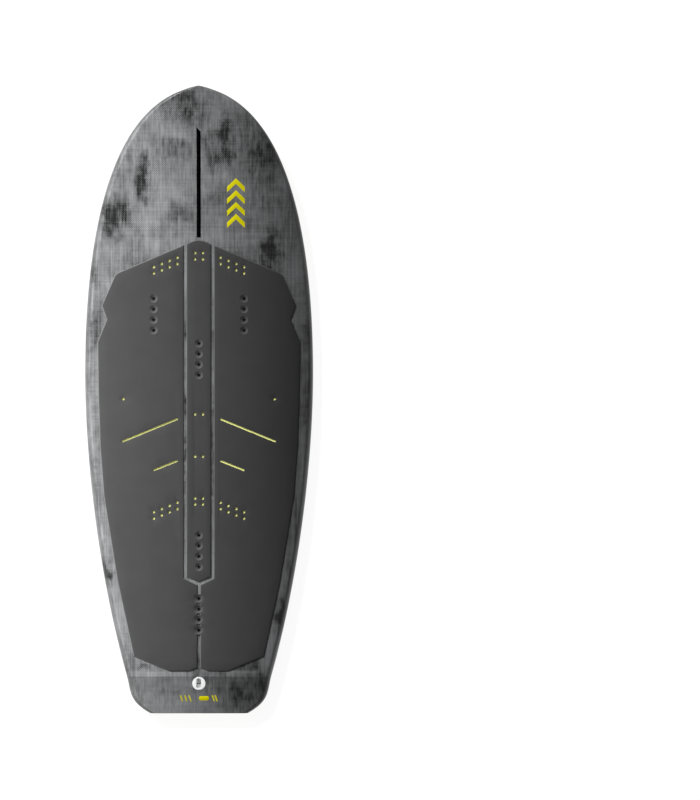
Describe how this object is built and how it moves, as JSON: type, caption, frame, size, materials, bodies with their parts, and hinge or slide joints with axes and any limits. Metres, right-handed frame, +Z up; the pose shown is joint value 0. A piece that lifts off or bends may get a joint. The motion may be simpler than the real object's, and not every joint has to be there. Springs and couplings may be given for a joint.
{
  "type": "kiteboard",
  "caption": "Directional foil kiteboard with a pointed nose, squared tail, foil tracks with sliding nuts, strap inserts, a layered grip pad and a leash plug.",
  "frame": {"origin": "middle of the board's box in plan, at the height of the flat part of the hull", "axes": "+Z up out of the deck, +Y towards the tail, -Y towards the nose, +X to the rider's left when facing the nose"},
  "size_m": [0.541, 1.485, 0.082],
  "materials": {
    "core_foam": "fine closed-cell foam",
    "deck_laminate": "gloss clear coat over grey smoke-patterned woven laminate",
    "hull_laminate": "gloss clear coat over yellow smoke-patterned woven laminate",
    "patch_laminate": "gloss clear coat over a darker reinforced laminate",
    "hull_patch_laminate": "gloss clear coat over a darker yellow reinforced laminate",
    "carbon": "gloss black carbon strip",
    "web_wood": "bare veneer web",
    "block_foam": "dense foam",
    "track_plastic": "moulded, fine grain",
    "nut_metal": "black coated",
    "insert_plastic": "moulded",
    "bush_plastic": "moulded, threaded",
    "pad_lower": "closed-cell foam",
    "pad_upper": "closed-cell foam, fine brushed grain",
    "plug_plastic": "moulded, satin",
    "plug_bar": "satin"
  },
  "bodies": {
    "board": {"foam_core": "core_foam", "deck_skin": "deck_laminate", "hull_skin": "hull_laminate", "deck_tail_patch": "patch_laminate", "hull_tail_patch": "hull_patch_laminate", "stringer_web": "web_wood", "deck_stringer_cap": "carbon", "hull_stringer_cap": "carbon", "track_block": "block_foam", "left_track": "track_plastic", "right_track": "track_plastic", "front_left_insert_block": "insert_plastic", "front_right_insert_block": "insert_plastic", "front_centre_insert_block": "insert_plastic", "middle_insert_block": "insert_plastic", "rear_insert_block": "insert_plastic", "front_left_bushes": "bush_plastic", "front_right_bushes": "bush_plastic", "front_centre_bushes": "bush_plastic", "middle_bushes": "bush_plastic", "rear_bushes": "bush_plastic", "left_pad_base": "pad_lower", "centre_pad_base": "pad_lower", "right_pad_base": "pad_lower", "left_pad_top": "pad_upper", "centre_pad_top": "pad_upper", "right_pad_top": "pad_upper", "leash_cup": "plug_plastic", "leash_bar": "plug_bar"},
    "left_front_nut": {"left_front_nut": "nut_metal"},
    "left_rear_nut": {"left_rear_nut": "nut_metal"},
    "right_front_nut": {"right_front_nut": "nut_metal"},
    "right_rear_nut": {"right_rear_nut": "nut_metal"}
  },
  "joints": [
    {"name": "left_front_nut_slide", "type": "slide", "parent": "board", "child": "left_front_nut", "axis": [0, -1, 0], "range_m": [-0.073, 0.073]},
    {"name": "left_rear_nut_slide", "type": "slide", "parent": "board", "child": "left_rear_nut", "axis": [0, -1, 0], "range_m": [-0.087, 0.07]},
    {"name": "right_front_nut_slide", "type": "slide", "parent": "board", "child": "right_front_nut", "axis": [0, -1, 0], "range_m": [-0.073, 0.073]},
    {"name": "right_rear_nut_slide", "type": "slide", "parent": "board", "child": "right_rear_nut", "axis": [0, -1, 0], "range_m": [-0.087, 0.07]}
  ]
}
